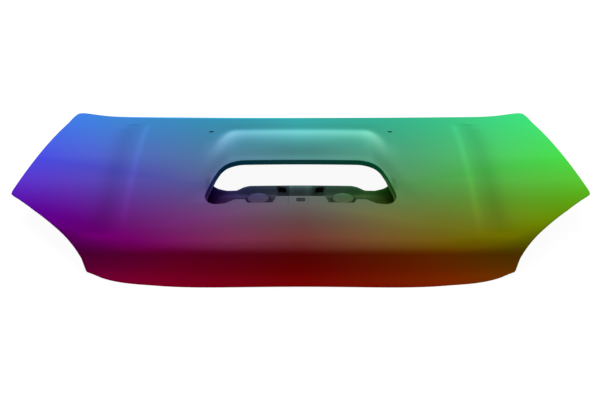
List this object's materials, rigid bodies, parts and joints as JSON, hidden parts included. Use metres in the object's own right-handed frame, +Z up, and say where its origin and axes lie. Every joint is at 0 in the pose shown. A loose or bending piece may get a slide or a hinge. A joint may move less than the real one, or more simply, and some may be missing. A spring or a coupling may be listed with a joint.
{
  "type": "car bonnet",
  "caption": "Car bonnet: a crowned steel skin with an air-intake opening and hump, hemmed round a windowed inner frame that carries hinge nuts, a stay hole and a bolted striker loop.",
  "frame": {"origin": "the middle of the bonnet's bounding box at the level it rests on, under the nose hem and the two rear corners", "axes": "+X to the car's right-hand side as seen from above with the nose towards -Y, +Y to the windscreen, +Z up, with the bonnet lying right side up"},
  "size_m": [1.4662, 1.0376, 0.1483],
  "materials": {
    "faded_paint": "satin air-dried paint that fades through the colour wheel across the panel",
    "frame_paint": "thin matt overspray of the same fade on the pressed frame",
    "zinc_plate": "dull zinc plate",
    "bare_steel": "bare bent rod, burnished where the latch closes",
    "mastic": "matt anti-flutter mastic"
  },
  "bodies": {
    "root": {"outer_panel": "faded_paint", "inner_panel": "frame_paint", "striker_reinforcement": "zinc_plate", "striker_plate": "zinc_plate", "striker_loop": "bare_steel", "striker_bolt_left": "zinc_plate", "striker_nut_left": "zinc_plate", "hinge_reinforcement_left": "zinc_plate", "hinge_nut_left_front": "zinc_plate", "hinge_nut_left_rear": "zinc_plate", "striker_bolt_right": "zinc_plate", "striker_nut_right": "zinc_plate", "hinge_reinforcement_right": "zinc_plate", "hinge_nut_right_front": "zinc_plate", "hinge_nut_right_rear": "zinc_plate", "stay_reinforcement": "zinc_plate", "mastic_pad_01": "mastic", "mastic_pad_02": "mastic", "mastic_pad_03": "mastic", "mastic_pad_04": "mastic", "mastic_pad_05": "mastic", "mastic_pad_06": "mastic", "mastic_pad_07": "mastic", "mastic_pad_08": "mastic", "mastic_pad_09": "mastic", "mastic_pad_10": "mastic", "mastic_pad_11": "mastic", "mastic_pad_12": "mastic", "mastic_pad_13": "mastic", "mastic_pad_14": "mastic", "mastic_pad_15": "mastic", "mastic_pad_16": "mastic", "mastic_pad_17": "mastic", "mastic_pad_18": "mastic", "mastic_pad_19": "mastic", "mastic_pad_20": "mastic"}
  },
  "joints": []
}
